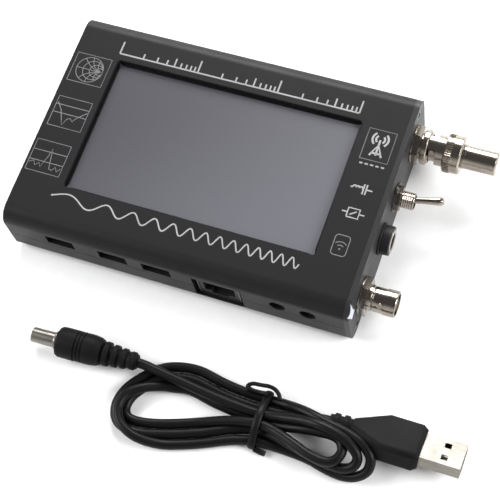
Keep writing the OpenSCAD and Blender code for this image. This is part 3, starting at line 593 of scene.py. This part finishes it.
# spectrum with one tall peak and small ones beside it
peaks = [box_line(-64.8, -23.8, -51.2, -11)]
peaks += [[(-64.8, y), (-51.2, y)] for y in (-15.2, -19.4)]
peaks.append([(-64.4, -20.8), (-62.8, -19.8), (-61.8, -21.6), (-60.6, -20.2), (-59.6, -21.8),
              (-58.2, -17.0),
              (-57.6, -13.6), (-57.0, -17.0), (-56.0, -21.8), (-54.8, -22.0), (-53.8, -20.4),
              (-52.8, -22.2),
              (-51.8, -20.6)])
print_marks("print_spectrum_peaks", peaks, 0.28, hairline_ink)

# behind the window: a three-decade frequency scale
scale = [[(-48.6, 31.0), (45.8, 31.0)]]
for decade in range(3):
    for step in range(1, 10):
        place = -48.6 + 94.4 * (decade + math.log10(step)) / 3
        scale.append([(place, 31.0), (place, 31.0 + (5.2 if step == 1 else 3.6 if step == 5 else 2.2))])
scale.append([(45.8, 31.0), (45.8, 36.2)])
print_marks("print_frequency_scale", scale, 0.6)

# in front of the window: a sweep whose waves close up
sweep_line, steps = [], 420
for k in range(steps + 1):
    t = k / steps
    sweep_line.append((-51 + 95 * t, -31.2 + 1.9 * math.sin(math.tau * (3 * t + 11 * t * t))))
print_marks("print_rising_sweep", [sweep_line], 0.55)

# framed mast that radiates, with a dashed line below
mast = [[(56.4, 16.2), (56.4, 22.6)], [(54.2, 15.8), (56.4, 20.6), (58.6, 15.8)],
        [(54.6, 17.0), (58.2, 17.0)]]
for r in (1.6, 2.9):
    mast += [arc(56.4, 22.8, r, -50, 50), arc(56.4, 22.8, r, 130, 230)]
print_marks("print_mast", mast, 0.75)
print_marks("print_mast_frame", [box_line(51.3, 14.0, 61.5, 26.5)], 0.25, hairline_ink)
print_marks("print_mast_dashes", [[(51.8 + 2.0 * k, 12.2), (53.0 + 2.0 * k, 12.2)] for k in range(5)], 0.6)

# coil over a capacitor
coil = [[(51.8, 2.4), (52.6, 2.4)], [(56.0, 2.4), (56.5, 2.4)], [(56.5, 0.9), (56.5, 3.9)],
        [(57.5, 0.9), (57.5, 3.9)],
        [(57.5, 2.4), (59.8, 2.4)]]
coil += [arc(53.2 + 1.2 * k, 2.4, 0.6, 180, 0, 8) for k in range(3)]
coil = [[(x, 2.4 + 1.35 * (y - 2.4)) for x, y in stroke] for stroke in coil]
print_marks("print_coil_and_capacitor", coil, 0.55)

# two-port box
print_marks("print_two_port", [box_line(53.8, -9.2, 58.0, -5.6), [(51.8, -7.4), (53.8, -7.4)],
                               [(58.0, -7.4), (60.0, -7.4)], [(54.8, -8.2), (57.0, -6.6)]], 0.55)

# radio link: a dot and two arcs in a round-cornered frame
link = [arc(57.0, -17.6, 1.2, 0, 90, 5) + arc(54.0, -17.6, 1.2, 90, 180, 5) + arc(54.0, -23.0, 1.2, 180,
                                                                                  270, 5)
        + arc(57.0, -23.0, 1.2, 270, 360, 5) + [(58.2, -17.6)]]
link += [arc(55.5, -21.8, r, 45, 135) for r in (1.5, 2.8)]
link.append(arc(55.5, -21.8, 0.25, 0, 360, 6))
print_marks("print_radio_link", link, 0.3, hairline_ink)

# ---------------------------------------------------------------- floor and light

bpy.ops.object.select_all(action="DESELECT")
bpy.ops.mesh.primitive_plane_add(size=40.0, location=(0, 0, 0))
floor = bpy.context.object
floor.name = "studio_table"
floor.data.materials.append(surface("white_studio_card", "#F4F4F4", "#F0F0F0", 0.0, 0.75, 0.03, 3.0, 0.01))

# a studio whose ceiling is dark and whose walls are bright, so that metal shows bands
world = bpy.data.worlds.new("studio_room")
world.use_nodes = True
bpy.context.scene.world = world
sky = world.node_tree
upward = add_node(sky, "ShaderNodeSeparateXYZ",
                  {"Vector": add_node(sky, "ShaderNodeTexCoord").outputs["Generated"]}).outputs["Z"]
room = add_node(sky, "ShaderNodeValToRGB", {"Fac": upward})
room.color_ramp.elements[0].position = 0.30
room.color_ramp.elements[0].color = (1, 1, 1, 1)
room.color_ramp.elements[1].position = 0.72
room.color_ramp.elements[1].color = (0.12, 0.12, 0.125, 1)
sky.links.new(room.outputs["Color"], sky.nodes["Background"].inputs["Color"])
sky.nodes["Background"].inputs["Strength"].default_value = 0.9


def softbox(name, place, target, size, power):
    """A square soft light at place, facing target, in metres and watts."""
    lamp = bpy.data.lights.new(name, "AREA")
    lamp.shape = "SQUARE"
    lamp.size = size
    lamp.energy = power
    holder = bpy.data.objects.new(name, lamp)
    bpy.context.scene.collection.objects.link(holder)
    holder.location = place
    holder.rotation_euler = (Vector(target) - Vector(place)).to_track_quat("-Z", "Y").to_euler()


softbox("back_box", (-0.25, 1.1, 0.75), (0, 0, 0), 0.7, 26)
softbox("right_box", (1.0, 0.1, 0.7), (0.05, 0, 0), 0.6, 16)
softbox("left_box", (-1.0, -0.3, 0.8), (0, -0.05, 0), 0.7, 16)
bpy.context.scene.view_settings.view_transform = "Standard"
